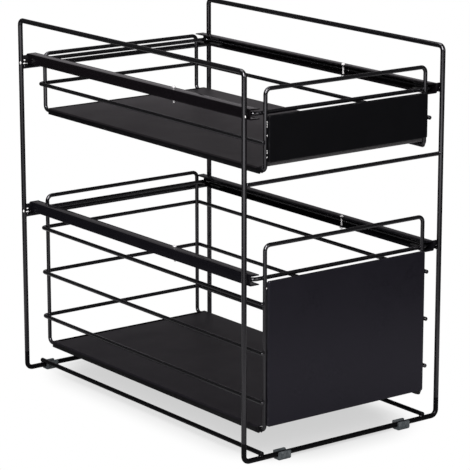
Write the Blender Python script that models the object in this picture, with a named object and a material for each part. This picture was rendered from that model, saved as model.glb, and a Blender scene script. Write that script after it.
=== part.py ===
"""Two-tier pull-out cabinet organizer of bent and welded steel wire, in metres, Z up."""
import math

import bmesh
import bpy
from mathutils import Vector

# Clearances shared by all pieces
GAP = 0.0003
CUT_OVERRUN = 0.001

# Outer frame: two side hoops on two base bars
FRAME_WIDTH = 0.258
FRAME_DEPTH = 0.409
FRAME_HEIGHT = 0.4
FRAME_WIRE = 0.0054
FRAME_TOP_BEND = 0.0055
FRAME_BASE_BEND = 0.0065
SEAM_RISE = 0.0135

# Wires and bars that tie the frame together
BASE_WIRE = 0.0048
BASE_WIRE_INSET = 0.021
BASE_WIRE_FRONT_OVERHANG = 0.0035
BASE_WIRE_REAR_OVERHANG = 0.002
REAR_CROSSBAR_WIRE = 0.0054
FRONT_CROSSBAR_WIRE = 0.0043
FRONT_CROSSBAR_DROP = 0.0083

# Clip-on feet around the base bars
FOOT_LENGTH = 0.015
FOOT_DEPTH = 0.012
FOOT_SOLE = 0.003
FOOT_WALL_RISE = 0.0035
FOOT_CORNER = 0.0025
FRONT_FOOT_INSET = 0.049
REAR_FOOT_INSET = 0.031

# Rails: channels open towards the drawer
RAIL_HEIGHT = 0.011
RAIL_FLANGE = 0.012
RAIL_SHEET = 0.0012
RAIL_STANDOFF = 0.0043
UPPER_RAIL_DROP = 0.0379
RAIL_PITCH = 0.1684

# Stop screws through the rails, with their nuts
SCREW_THREAD = 0.002
SCREW_HEAD = 0.004
SCREW_HEAD_HEIGHT = 0.0018
SCREW_CROWN_SHARE = 0.7
SCREW_TAIL = 0.003
SCREW_EDGE_INSET = 0.0023
SCREW_HOLE = 0.0026
SCREW_SETBACK = 0.1415
NUT_WIDTH = 0.004
NUT_HEIGHT = 0.0016

# Glides: fixed in the front of each rail and on the back of each slide ring
GLIDE_LENGTH = 0.018
GLIDE_WIDTH = 0.0066
GLIDE_CORNER_GAP = 0.0006

# Drawer wire loop, slide ring and side wires
DRAWER_WIRE = 0.0043
LEG_CLEARANCE = 0.00385
LEG_FRONT_PROUD = 0.0015
LEG_REAR_GAP = 0.0095
LOOP_TOP_BEND = 0.006
LOOP_BASE_BEND = 0.0055
RING_SIDE_CLEARANCE = 0.00125
RING_BEND = 0.008
SIDE_WIRE_OVERHANG = 0.0037

# Upper drawer, heights from its slide ring's centre line
UPPER_BASKET_DEPTH = 0.0582
UPPER_HANDLE_RISE = 0.0244
UPPER_REAR_RISE = 0.0047
UPPER_PANEL_FLOOR_GAP = 0.0055

# Lower drawer, heights from its slide ring's centre line
LOWER_FLOOR_CLEARANCE = 0.018
LOWER_HANDLE_RISE = 0.0344
LOWER_REAR_RISE = 0.0113
LOWER_PANEL_FLOOR_GAP = 0.0034
LOWER_SIDE_WIRE_RISE = 0.0306
LOWER_SIDE_WIRE_DROP = 0.02

# Floor pans and front panels
PAN_SHEET = 0.0012
PAN_SIDE_FOLD = 0.0069
PAN_REAR_FOLD = 0.0045
PAN_NOTCH_GAP = 0.002
PAN_FOLD_SETBACK = 0.0035
PAN_REAR_SETBACK = 0.0055
LIP_LAP = 0.002
PANEL_SHEET = 0.001
PANEL_DEPTH = 0.0033
PANEL_CORNER = 0.002
PANEL_SIDE_INSET = 0.0005
PANEL_TOP_GAP = 0.0003

# Counts that set how fine the round shapes are
TUBE_STEPS = 3
BEND_STEPS = 6
ROUND_STEPS = 12
CORNER_STEPS = 4

# Places worked out from the sizes above, seen from the base bars' centre line
POST_X = FRAME_WIDTH / 2
POST_Y = FRAME_DEPTH / 2
POST_R = FRAME_WIRE / 2
SEAM_Z = FRAME_BASE_BEND + SEAM_RISE
BAR_HEIGHT = FOOT_SOLE + POST_R
BASE_WIRE_Z = POST_R + GAP + BASE_WIRE / 2
WEB_X = POST_X - POST_R - RAIL_STANDOFF
FLANGE_X = WEB_X - RAIL_FLANGE
UPPER_RAIL_Z = FRAME_HEIGHT - UPPER_RAIL_DROP - RAIL_HEIGHT
LOWER_RAIL_Z = UPPER_RAIL_Z - RAIL_PITCH
EAR_Y = POST_Y - POST_R - GAP
WIRE_R = DRAWER_WIRE / 2
LEG_X = FLANGE_X - LEG_CLEARANCE - WIRE_R
LEG_FRONT_Y = -POST_Y - LEG_FRONT_PROUD
LEG_REAR_Y = POST_Y - LEG_REAR_GAP
WIRE_PITCH = DRAWER_WIRE + GAP
RING_X = WEB_X - RAIL_SHEET - RING_SIDE_CLEARANCE - WIRE_R
RING_FRONT_Y = LEG_FRONT_Y + WIRE_PITCH
RING_REAR_Y = LEG_REAR_Y - WIRE_PITCH
SCREW_X = FLANGE_X + SCREW_EDGE_INSET
SCREW_Y = SCREW_SETBACK - POST_Y
GLIDE_HEIGHT = RAIL_HEIGHT - 2 * RAIL_SHEET - 2 * GAP
PANEL_BACK_Y = LEG_FRONT_Y - WIRE_R - GAP
PANEL_FACE_Y = PANEL_BACK_Y - PANEL_DEPTH
LOWER_FOLD_Z = BASE_WIRE_Z + BASE_WIRE / 2 + LOWER_FLOOR_CLEARANCE
FOLD_BELOW_WIRE = PAN_SIDE_FOLD - PAN_SHEET - GAP - WIRE_R
UPPER_RING_Z = UPPER_RAIL_Z + RAIL_HEIGHT / 2
LOWER_RING_Z = LOWER_RAIL_Z + RAIL_HEIGHT / 2
UPPER_FLOOR_Z = -UPPER_BASKET_DEPTH
LOWER_FLOOR_Z = LOWER_FOLD_Z + FOLD_BELOW_WIRE - LOWER_RING_Z
CENTRE_SHIFT = (-PANEL_FACE_Y - POST_Y - FOOT_DEPTH / 2) / 2


def clear_scene():
    for old in list(bpy.data.objects):
        bpy.data.objects.remove(old, do_unlink=True)


def make_material(name, colour, roughness, metallic):
    material = bpy.data.materials.new(name)
    material.use_nodes = True
    shader = material.node_tree.nodes["Principled BSDF"]
    shader.inputs["Base Color"].default_value = (*colour, 1.0)
    shader.inputs["Roughness"].default_value = roughness
    shader.inputs["Metallic"].default_value = metallic
    material.diffuse_color = (*colour, 1.0)
    return material


def powder_coat(name):
    return make_material(name, (0.016, 0.016, 0.018), 0.38, 0.0)


def bright_zinc(name):
    return make_material(name, (0.72, 0.73, 0.75), 0.28, 1.0)


def dark_nylon(name):
    return make_material(name, (0.03, 0.03, 0.032), 0.5, 0.0)


def grey_rubber(name):
    return make_material(name, (0.085, 0.095, 0.1), 0.6, 0.0)


def make_empty(name, place):
    empty = bpy.data.objects.new(name, None)
    empty.location = place
    bpy.context.scene.collection.objects.link(empty)
    return empty


def add_object(name, data, coat, parent, place=(0, 0, 0), turn=0.0):
    piece = bpy.data.objects.new(name, data)
    bpy.context.scene.collection.objects.link(piece)
    piece.parent = parent
    piece.location = place
    piece.rotation_euler = (0, 0, turn)
    if not data.materials:
        data.materials.append(None)
    slot = piece.material_slots[0]
    slot.link = "OBJECT"
    slot.material = coat(name)
    return piece


def mesh_from(bm, name, crease=math.radians(35)):
    bmesh.ops.recalc_face_normals(bm, faces=bm.faces)
    mesh = bpy.data.meshes.new(name)
    bm.to_mesh(mesh)
    bm.free()
    mesh.shade_smooth()
    mesh.set_sharp_from_angle(angle=crease)
    return mesh


def arc_points(before, corner, after, radius):
    """Points of the round bend that replaces one sharp corner."""
    into = (corner - before).normalized()
    out = (after - corner).normalized()
    turn = into.angle(out)
    reach = radius * math.tan(turn / 2)
    start = corner - into * reach
    side = (out - into * out.dot(into)).normalized()
    centre = start + side * radius
    steps = [turn * step / BEND_STEPS for step in range(BEND_STEPS + 1)]
    return [centre + (into * math.sin(a) - side * math.cos(a)) * radius for a in steps]


def bent_path(corners, bends, closed=False):
    """A wire's centre line through sharp corners, each rounded to its own bend radius."""
    corners = [Vector(corner) for corner in corners]
    count = len(corners)
    path = []
    for index, corner in enumerate(corners):
        is_end = not closed and index in (0, count - 1)
        if is_end:
            path.append(corner)
            continue
        before = corners[index - 1]
        after = corners[(index + 1) % count]
        path.extend(arc_points(before, corner, after, bends[index]))
    return path


def wire_curve(name, path, diameter, closed=False):
    curve = bpy.data.curves.new(name, "CURVE")
    curve.dimensions = "3D"
    curve.bevel_depth = diameter / 2
    curve.bevel_resolution = TUBE_STEPS
    curve.use_fill_caps = not closed
    spline = curve.splines.new("POLY")
    spline.points.add(len(path) - 1)
    for point, place in zip(spline.points, path):
        point.co = (*place, 1.0)
    spline.use_cyclic_u = closed
    spline.use_smooth = True
    return curve


def add_wire(name, corners, bends, diameter, parent, closed=False):
    path = bent_path(corners, bends, closed)
    curve = wire_curve(name, path, diameter, closed)
    return add_object(name, curve, powder_coat, parent)


def prism_mesh(name, outline, low, high, axis):
    """A flat outline carried from low to high along one axis."""
    bm = bmesh.new()
    rows = []
    for level in (low, high):
        rows.append([bm.verts.new(along_axis(point, level, axis)) for point in outline])
    bm.faces.new(rows[0])
    bm.faces.new(rows[1])
    stitch(bm, rows[0], rows[1])
    return mesh_from(bm, name)


def along_axis(point, level, axis):
    first, second = point
    places = {"x": (level, first, second), "y": (first, level, second), "z": (first, second, level)}
    return places[axis]


def stitch(bm, low_row, high_row):
    count = len(low_row)
    for index in range(count):
        after = (index + 1) % count
        bm.faces.new((low_row[index], low_row[after], high_row[after], high_row[index]))


def circle_points(radius, steps=ROUND_STEPS, turn=0.0):
    angles = [turn + 2 * math.pi * step / steps for step in range(steps)]
    return [(radius * math.cos(a), radius * math.sin(a)) for a in angles]


def turned_mesh(name, profile):
    """A turned piece from (radius, height) pairs, first and last on the axis."""
    bm = bmesh.new()
    low = bm.verts.new((0, 0, profile[0][1]))
    high = bm.verts.new((0, 0, profile[-1][1]))
    rows = []
    for radius, height in profile[1:-1]:
        rows.append([bm.verts.new((x, y, height)) for x, y in circle_points(radius)])
    for lower, upper in zip(rows, rows[1:]):
        stitch(bm, lower, upper)
    for index in range(ROUND_STEPS):
        after = (index + 1) % ROUND_STEPS
        bm.faces.new((low, rows[0][index], rows[0][after]))
        bm.faces.new((high, rows[-1][index], rows[-1][after]))
    return mesh_from(bm, name)


def cell_mesh(name, xs, ys, zs, is_filled):
    """The skin round the filled cells of a grid, used for folded sheet."""
    bm = bmesh.new()
    corners = {}

    def corner(i, j, k):
        if (i, j, k) not in corners:
            corners[i, j, k] = bm.verts.new((xs[i], ys[j], zs[k]))
        return corners[i, j, k]

    def filled(i, j, k):
        inside = 0 <= i < len(xs) - 1 and 0 <= j < len(ys) - 1 and 0 <= k < len(zs) - 1
        return inside and is_filled(i, j, k)

    steps = [(a, b, c) for a in (0, 1) for b in (0, 1) for c in (0, 1)]
    for i in range(len(xs) - 1):
        for j in range(len(ys) - 1):
            for k in range(len(zs) - 1):
                if not filled(i, j, k):
                    continue
                for axis in range(3):
                    for way in (0, 1):
                        beside = [i, j, k]
                        beside[axis] += 2 * way - 1
                        if filled(*beside):
                            continue
                        face = [s for s in steps if s[axis] == way]
                        ring = [face[0], face[1], face[3], face[2]]
                        bm.faces.new([corner(i + a, j + b, k + c) for a, b, c in ring])
    return mesh_from(bm, name)


def round_corners(half_width, low, high, corner, inset):
    """A rounded rectangle in X and Z, drawn in by an inset on all sides."""
    wide = half_width - corner
    radius = corner - inset
    top = high - corner
    base = low + corner
    points = []
    for x, z, quarter in ((wide, top, 0), (-wide, top, 1), (-wide, base, 2), (wide, base, 3)):
        for step in range(CORNER_STEPS + 1):
            angle = (quarter + step / CORNER_STEPS) * math.pi / 2
            points.append((x + radius * math.cos(angle), z + radius * math.sin(angle)))
    return points


def build_side_hoop(name, side, frame):
    x = side * POST_X
    rear = [(x, POST_Y, SEAM_Z), (x, POST_Y, FRAME_HEIGHT)]
    front = [(x, -POST_Y, FRAME_HEIGHT), (x, -POST_Y, SEAM_Z)]
    bends = [0, FRAME_TOP_BEND, FRAME_TOP_BEND, 0]
    add_wire(name, rear + front, bends, FRAME_WIRE, frame)


def build_base_bar(name, y, frame):
    top = SEAM_Z - GAP
    corners = [(-POST_X, y, top), (-POST_X, y, 0), (POST_X, y, 0), (POST_X, y, top)]
    bends = [0, FRAME_BASE_BEND, FRAME_BASE_BEND, 0]
    add_wire(name, corners, bends, FRAME_WIRE, frame)


def build_base_wire(name, side, frame):
    x = side * (POST_X - BASE_WIRE_INSET)
    front = -POST_Y - BASE_WIRE_FRONT_OVERHANG
    rear = POST_Y + BASE_WIRE_REAR_OVERHANG
    add_wire(name, [(x, front, BASE_WIRE_Z), (x, rear, BASE_WIRE_Z)], [0, 0], BASE_WIRE, frame)


def build_crossbar(name, y, z, diameter, frame):
    reach = POST_X - POST_R - GAP
    add_wire(name, [(-reach, y, z), (reach, y, z)], [0, 0], diameter, frame)


def build_crossbars(frame):
    rear_drop = GAP + REAR_CROSSBAR_WIRE / 2
    front_z = UPPER_RING_Z + UPPER_FLOOR_Z - FOLD_BELOW_WIRE - FRONT_CROSSBAR_DROP
    build_crossbar("front_crossbar", -POST_Y, front_z, FRONT_CROSSBAR_WIRE, frame)
    build_crossbar("upper_rear_crossbar", POST_Y, UPPER_RAIL_Z - rear_drop, REAR_CROSSBAR_WIRE, frame)
    build_crossbar("lower_rear_crossbar", POST_Y, LOWER_RAIL_Z - rear_drop, REAR_CROSSBAR_WIRE, frame)


def rail_mesh(name):
    """A right-hand rail: a channel with two ears bent out to the posts."""
    bm = bmesh.new()
    inner = RAIL_SHEET
    tip = RAIL_FLANGE
    top = RAIL_HEIGHT
    outline = [(0, 0), (-tip, 0), (-tip, inner), (-inner, inner), (-inner, top - inner), (-tip, top - inner),
               (-tip, top), (0, top)]
    stations = [-POST_Y, -EAR_Y, RAIL_SHEET - EAR_Y, EAR_Y - RAIL_SHEET, EAR_Y, POST_Y]
    rows = [[bm.verts.new((x, y, z)) for x, z in outline] for y in stations]
    bm.faces.new(rows[0])
    bm.faces.new(rows[-1])
    for low_row, high_row in zip(rows, rows[1:]):
        stitch(bm, low_row, high_row)
    for first in (1, 3):
        bend_out_ear(bm, rows[first], rows[first + 1])
    return mesh_from(bm, name)


def bend_out_ear(bm, front_row, rear_row):
    web = bm.faces.get((front_row[-1], front_row[0], rear_row[0], rear_row[-1]))
    grown = bmesh.ops.extrude_face_region(bm, geom=[web])
    moved = [item for item in grown["geom"] if isinstance(item, bmesh.types.BMVert)]
    bmesh.ops.translate(bm, verts=moved, vec=(POST_X - WEB_X, 0, 0))
    if web.is_valid:
        bm.faces.remove(web)


def add_screw_hole(rail, name, place, frame):
    outline = circle_points(SCREW_HOLE / 2)
    low = -CUT_OVERRUN
    high = RAIL_HEIGHT + CUT_OVERRUN
    cutter = bpy.data.objects.new(name, prism_mesh(name, outline, low, high, "z"))
    bpy.context.scene.collection.objects.link(cutter)
    cutter.parent = frame
    cutter.location = place
    cutter.hide_render = True
    cutter.display_type = "WIRE"
    hole = rail.modifiers.new("screw_hole", "BOOLEAN")
    hole.operation = "DIFFERENCE"
    hole.object = cutter


def screw_mesh():
    thread = SCREW_THREAD / 2
    head = SCREW_HEAD / 2
    low = -(RAIL_HEIGHT + 2 * GAP + NUT_HEIGHT + SCREW_TAIL)
    crown = SCREW_HEAD_HEIGHT
    shoulder = crown / 2
    shank = [(0, low), (thread, low), (thread, 0)]
    profile = shank + [(head, 0), (head, shoulder), (head * SCREW_CROWN_SHARE, crown), (0, crown)]
    return turned_mesh("stop_screw", profile)


def nut_mesh():
    bm = bmesh.new()
    bore = circle_points(SCREW_THREAD / 2 + GAP)
    flat = NUT_WIDTH / 2
    hexagon = []
    for step in range(ROUND_STEPS):
        angle = 2 * math.pi * step / ROUND_STEPS
        reach = flat if step % 2 == 0 else flat / math.cos(math.pi / 6)
        hexagon.append((reach * math.cos(angle), reach * math.sin(angle)))
    levels = ((hexagon, -NUT_HEIGHT), (hexagon, 0), (bore, 0), (bore, -NUT_HEIGHT))
    rows = [[bm.verts.new((x, y, z)) for x, y in outline] for outline, z in levels]
    for index, row in enumerate(rows):
        stitch(bm, row, rows[(index + 1) % len(rows)])
    return mesh_from(bm, "stop_nut")


def glide_outline():
    """A block with a slot for the ring wire, open towards -X, wire at the origin."""
    back = RING_SIDE_CLEARANCE + WIRE_R - GAP
    front = back - GLIDE_WIDTH
    half = GLIDE_HEIGHT / 2
    slot = WIRE_R + GAP
    outline = [(front, -half), (back, -half), (back, half), (front, half), (front, slot)]
    for step in range(CORNER_STEPS * 2 + 1):
        angle = math.pi / 2 - math.pi * step / (CORNER_STEPS * 2)
        outline.append((slot * math.cos(angle), slot * math.sin(angle)))
    outline.append((front, -slot))
    return outline


def build_rails(frame):
    rail = rail_mesh("rail")
    screw = screw_mesh()
    nut = nut_mesh()
    glide = prism_mesh("glide", glide_outline(), 0, GLIDE_LENGTH, "y")
    for tier, rail_z in (("upper", UPPER_RAIL_Z), ("lower", LOWER_RAIL_Z)):
        for hand, side in (("left", -1), ("right", 1)):
            name = f"{tier}_{hand}"
            turn = 0.0 if side > 0 else math.pi
            piece = add_object(f"{name}_rail", rail, powder_coat, frame, (side * WEB_X, 0, rail_z), turn)
            screw_place = (side * SCREW_X, SCREW_Y, rail_z)
            add_screw_hole(piece, f"{name}_screw_hole_cutter", screw_place, frame)
            above = Vector((0, 0, RAIL_HEIGHT + GAP))
            add_object(f"{name}_stop_screw", screw, bright_zinc, frame, Vector(screw_place) + above)
            below = Vector((0, 0, -GAP))
            add_object(f"{name}_stop_nut", nut, bright_zinc, frame, Vector(screw_place) + below)
            glide_y = RING_FRONT_Y + RING_BEND + GLIDE_CORNER_GAP
            if side < 0:
                glide_y += GLIDE_LENGTH
            place = (side * RING_X, glide_y, rail_z + RAIL_HEIGHT / 2)
            add_object(f"{name}_rail_glide", glide, dark_nylon, frame, place, turn)
    return glide


def foot_outline():
    """The clip's section in Y and Z, with the bar's centre line at the origin."""
    half = FOOT_DEPTH / 2
    low = -POST_R - FOOT_SOLE
    groove = POST_R + GAP
    outline = [(-half, FOOT_WALL_RISE)]
    for centre, start in (((FOOT_CORNER - half), math.pi), ((half - FOOT_CORNER), 1.5 * math.pi)):
        for step in range(CORNER_STEPS + 1):
            angle = start + math.pi / 2 * step / CORNER_STEPS
            y = centre + FOOT_CORNER * math.cos(angle)
            outline.append((y, low + FOOT_CORNER + FOOT_CORNER * math.sin(angle)))
    outline += [(half, FOOT_WALL_RISE), (groove, FOOT_WALL_RISE)]
    for step in range(CORNER_STEPS * 2 + 1):
        angle = -math.pi * step / (CORNER_STEPS * 2)
        outline.append((groove * math.cos(angle), groove * math.sin(angle)))
    outline.append((-groove, FOOT_WALL_RISE))
    return outline


def build_feet(frame):
    half = FOOT_LENGTH / 2
    foot = prism_mesh("foot", foot_outline(), -half, half, "x")
    for end, y, inset in (("front", -POST_Y, FRONT_FOOT_INSET), ("rear", POST_Y, REAR_FOOT_INSET)):
        for hand, side in (("left", -1), ("right", 1)):
            place = (side * (POST_X - inset), y, 0)
            add_object(f"{end}_{hand}_foot", foot, grey_rubber, frame, place)


def build_wire_loop(name, floor_z, handle_z, rear_z, drawer):
    """One closed wire: front handle, legs, floor runners and the rear hoop."""
    corners = []
    bends = []
    for side, order in ((-1, 1), (1, -1)):
        run = [(side * LEG_X, LEG_FRONT_Y, handle_z), (side * LEG_X, LEG_FRONT_Y, floor_z),
               (side * LEG_X, LEG_REAR_Y, floor_z), (side * LEG_X, LEG_REAR_Y, rear_z)]
        radii = [LOOP_TOP_BEND, LOOP_BASE_BEND, LOOP_BASE_BEND, LOOP_TOP_BEND]
        corners += run[::order]
        bends += radii[::order]
    add_wire(name, corners, bends, DRAWER_WIRE, drawer, closed=True)


def build_slide_ring(name, drawer):
    corners = [(-RING_X, RING_FRONT_Y, 0), (-RING_X, RING_REAR_Y, 0), (RING_X, RING_REAR_Y, 0),
               (RING_X, RING_FRONT_Y, 0)]
    add_wire(name, corners, [RING_BEND] * 4, DRAWER_WIRE, drawer, closed=True)


def build_side_wire(name, z, drawer):
    x = LEG_X + WIRE_PITCH
    rear = LEG_REAR_Y + WIRE_PITCH
    front = LEG_FRONT_Y - SIDE_WIRE_OVERHANG
    corners = [(-x, front, z), (-x, rear, z), (x, rear, z), (x, front, z)]
    add_wire(name, corners, [0, WIRE_PITCH, WIRE_PITCH, 0], DRAWER_WIRE, drawer)


def build_floor_pan(name, floor_z, panel_low, drawer):
    """Sheet floor: sides and back folded down, front lip turned up behind the panel."""
    sheet_low = floor_z + WIRE_R + GAP
    top = sheet_low + PAN_SHEET
    fold_out = LEG_X + WIRE_R + GAP + PAN_SHEET
    tongue = LEG_X - WIRE_R - PAN_NOTCH_GAP
    lip_y = PANEL_BACK_Y + GAP
    notch_y = LEG_FRONT_Y + LOOP_BASE_BEND + PAN_NOTCH_GAP
    rear = LEG_REAR_Y - LOOP_BASE_BEND - PAN_REAR_SETBACK
    xs = [-fold_out, PAN_SHEET - fold_out, -tongue, tongue, fold_out - PAN_SHEET, fold_out]
    ys = [lip_y, lip_y + PAN_SHEET, LEG_FRONT_Y + PAN_FOLD_SETBACK, notch_y, rear - PAN_SHEET, rear]
    zs = [top - PAN_SIDE_FOLD, top - PAN_REAR_FOLD, sheet_low, top, panel_low + LIP_LAP]

    def is_filled(i, j, k):
        in_tongue = i == 2
        in_side = i in (0, 4)
        lip = in_tongue and j == 0 and k >= 2
        sheet = k == 2 and (in_tongue or j >= 3)
        side_fold = in_side and k <= 2 and j >= 2
        rear_fold = in_tongue and j == 4 and k in (1, 2)
        return lip or sheet or side_fold or rear_fold

    add_object(name, cell_mesh(name, xs, ys, zs, is_filled), powder_coat, drawer)


def build_front_panel(name, low, high, drawer):
    """A shallow steel tray standing on edge, its rim against the front legs."""
    half = LEG_X - PANEL_SIDE_INSET
    levels = ((0, PANEL_FACE_Y), (0, PANEL_BACK_Y), (PANEL_SHEET, PANEL_BACK_Y),
              (PANEL_SHEET, PANEL_FACE_Y + PANEL_SHEET))
    bm = bmesh.new()
    rows = []
    for inset, y in levels:
        outline = round_corners(half, low, high, PANEL_CORNER, inset)
        rows.append([bm.verts.new((x, y, z)) for x, z in outline])
    bm.faces.new(rows[0])
    bm.faces.new(rows[-1])
    for front_row, rear_row in zip(rows, rows[1:]):
        stitch(bm, front_row, rear_row)
    add_object(name, mesh_from(bm, name), powder_coat, drawer)


def build_ring_glides(tier, glide, drawer):
    for hand, side in (("left", -1), ("right", 1)):
        turn = 0.0 if side > 0 else math.pi
        rear = RING_REAR_Y - RING_BEND - GLIDE_CORNER_GAP
        y = rear if side < 0 else rear - GLIDE_LENGTH
        add_object(f"{tier}_{hand}_ring_glide", glide, dark_nylon, drawer, (side * RING_X, y, 0), turn)


def build_drawer(tier, heights, glide, drawer):
    floor_z, handle_rise, rear_rise, floor_gap = heights
    pan_top = floor_z + WIRE_R + GAP + PAN_SHEET
    panel_low = pan_top + floor_gap
    panel_high = -WIRE_R - PANEL_TOP_GAP
    build_wire_loop(f"{tier}_wire_loop", floor_z, handle_rise, rear_rise, drawer)
    build_slide_ring(f"{tier}_slide_ring", drawer)
    build_floor_pan(f"{tier}_floor_pan", floor_z, panel_low, drawer)
    build_front_panel(f"{tier}_front_panel", panel_low, panel_high, drawer)
    build_ring_glides(tier, glide, drawer)


def build_frame(frame):
    build_side_hoop("left_side_hoop", -1, frame)
    build_side_hoop("right_side_hoop", 1, frame)
    build_base_bar("front_base_bar", -POST_Y, frame)
    build_base_bar("rear_base_bar", POST_Y, frame)
    build_base_wire("left_base_wire", -1, frame)
    build_base_wire("right_base_wire", 1, frame)
    build_crossbars(frame)
    build_feet(frame)


def build_upper_drawer(glide):
    drawer = make_empty("upper_drawer", (0, CENTRE_SHIFT, BAR_HEIGHT + UPPER_RING_Z))
    heights = (UPPER_FLOOR_Z, UPPER_HANDLE_RISE, UPPER_REAR_RISE, UPPER_PANEL_FLOOR_GAP)
    build_drawer("upper", heights, glide, drawer)
    build_side_wire("upper_side_wire", UPPER_FLOOR_Z / 2, drawer)


def build_lower_drawer(glide):
    drawer = make_empty("lower_drawer", (0, CENTRE_SHIFT, BAR_HEIGHT + LOWER_RING_Z))
    heights = (LOWER_FLOOR_Z, LOWER_HANDLE_RISE, LOWER_REAR_RISE, LOWER_PANEL_FLOOR_GAP)
    build_drawer("lower", heights, glide, drawer)
    bottom = LOWER_FLOOR_Z + LOWER_SIDE_WIRE_RISE
    top = -RAIL_HEIGHT / 2 - LOWER_SIDE_WIRE_DROP
    build_side_wire("lower_bottom_side_wire", bottom, drawer)
    build_side_wire("lower_middle_side_wire", (bottom + top) / 2, drawer)
    build_side_wire("lower_top_side_wire", top, drawer)


def build_organizer():
    clear_scene()
    frame = make_empty("frame", (0, CENTRE_SHIFT, BAR_HEIGHT))
    build_frame(frame)
    glide = build_rails(frame)
    build_upper_drawer(glide)
    build_lower_drawer(glide)


build_organizer()
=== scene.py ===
# Two-tier pull-out cabinet organizer: wires, folded sheets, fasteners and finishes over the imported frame
import math

import bmesh
import bpy
from mathutils import Matrix, Vector


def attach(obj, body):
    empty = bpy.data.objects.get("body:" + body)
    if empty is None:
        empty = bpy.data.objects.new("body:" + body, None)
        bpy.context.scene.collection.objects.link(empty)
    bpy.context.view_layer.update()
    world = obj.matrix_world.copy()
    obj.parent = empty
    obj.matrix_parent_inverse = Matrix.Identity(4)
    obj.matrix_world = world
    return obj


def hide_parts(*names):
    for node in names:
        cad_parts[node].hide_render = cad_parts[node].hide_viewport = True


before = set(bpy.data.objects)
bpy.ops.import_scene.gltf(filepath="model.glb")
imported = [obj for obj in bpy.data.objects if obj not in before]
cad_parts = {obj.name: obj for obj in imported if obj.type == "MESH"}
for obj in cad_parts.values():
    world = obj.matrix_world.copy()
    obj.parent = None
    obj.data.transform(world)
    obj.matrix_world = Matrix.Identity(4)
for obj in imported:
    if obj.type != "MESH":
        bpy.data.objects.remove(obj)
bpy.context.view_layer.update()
print("frame loaded with", len(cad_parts), "nodes")

mm = 0.001
shiftBack = 0.625  # mm from the origin to the middle of the frame, which stands a little behind it
hands = {-1: "left", 1: "right"}
coatSlot = "black_powder_coat"


# Small helpers: places, nodes and sockets

def inMetres(*lengths):
    return Vector([length * mm for length in lengths])


def place(x, y, z):
    return inMetres(x, y + shiftBack, z)


def feed(tree, node, values):
    # each value is an output to link, or a plain number, colour or name
    for key, value in values.items():
        if isinstance(value, bpy.types.NodeSocket):
            tree.links.new(value, node.inputs[key])
        elif value is not None:
            node.inputs[key].default_value = value


def addNode(tree, kind, values=None, **settings):
    node = tree.nodes.new(kind)
    for key, value in settings.items():
        setattr(node, key, value)
    feed(tree, node, values or {})
    return node


def newGroup(name, kind, inputs, outputs):
    # sockets are given as name: (kind, value, lowest, highest); the ids are what a modifier sets them by
    tree = bpy.data.node_groups.new(name, kind)
    ids = {}
    for way, sockets in (("INPUT", inputs), ("OUTPUT", outputs)):
        for label, (socketKind, *limits) in sockets.items():
            socket = tree.interface.new_socket(name=label, in_out=way, socket_type="NodeSocket" + socketKind)
            for setting, value in zip(("default_value", "min_value", "max_value"), limits):
                setattr(socket, setting, value)
            if way == "INPUT":
                ids[label] = socket.identifier
    return tree, ids, tree.nodes.new("NodeGroupInput").outputs, tree.nodes.new("NodeGroupOutput")


def mathNode(tree, operation, first, second=None, third=None, clamp=False):
    values = {0: first, 1: second, 2: third}
    return addNode(tree, "ShaderNodeMath", values, operation=operation, use_clamp=clamp).outputs[0]


def times(tree, first, second, clamp=False):
    return mathNode(tree, "MULTIPLY", first, second, clamp=clamp)


def timesPlus(tree, first, second, third, clamp=False):
    return mathNode(tree, "MULTIPLY_ADD", first, second, third, clamp)


def mixColour(tree, factor, first, second):
    values = {0: factor, 6: first, 7: second}
    return addNode(tree, "ShaderNodeMix", values, data_type="RGBA", clamp_factor=True).outputs[2]


def noise(tree, coords, size, detail=2.0, roughness=0.5):
    # size is that of one blob, in mm
    values = {"Vector": coords, "Scale": 1 / (size * mm), "Detail": detail, "Roughness": roughness}
    return addNode(tree, "ShaderNodeTexNoise", values).outputs["Fac"]


def spread(tree, value, low, high, toLow=0.0, toHigh=1.0):
    values = {"Value": value, "From Min": low, "From Max": high, "To Min": toLow, "To Max": toHigh}
    return addNode(tree, "ShaderNodeMapRange", values, interpolation_type="SMOOTHSTEP").outputs["Result"]


def bumpNode(tree, height, strength, distance, normal=None):
    # distance in mm
    values = {"Height": height, "Strength": strength, "Distance": distance * mm, "Normal": normal}
    return addNode(tree, "ShaderNodeBump", values).outputs["Normal"]


# Shader groups that several finishes share

powderLook = {
    "cloudSize": 38, "peelSize": 0.9, "grainSize": 0.16, "grainTone": 0.24,
    "fleckSpacing": 4.2, "fleckEdge": (0.03, 0.075), "fleckPatchSize": 11, "fleckPatchEdge": (0.5, 0.62),
    "fleckColour": (0.16, 0.16, 0.165, 1), "cloudRoughness": 0.12, "grainRoughness": 0.06,
    "fleckRoughness": 0.25, "grainHeight": 0.18, "fleckHeight": 0.3,
}


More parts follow.
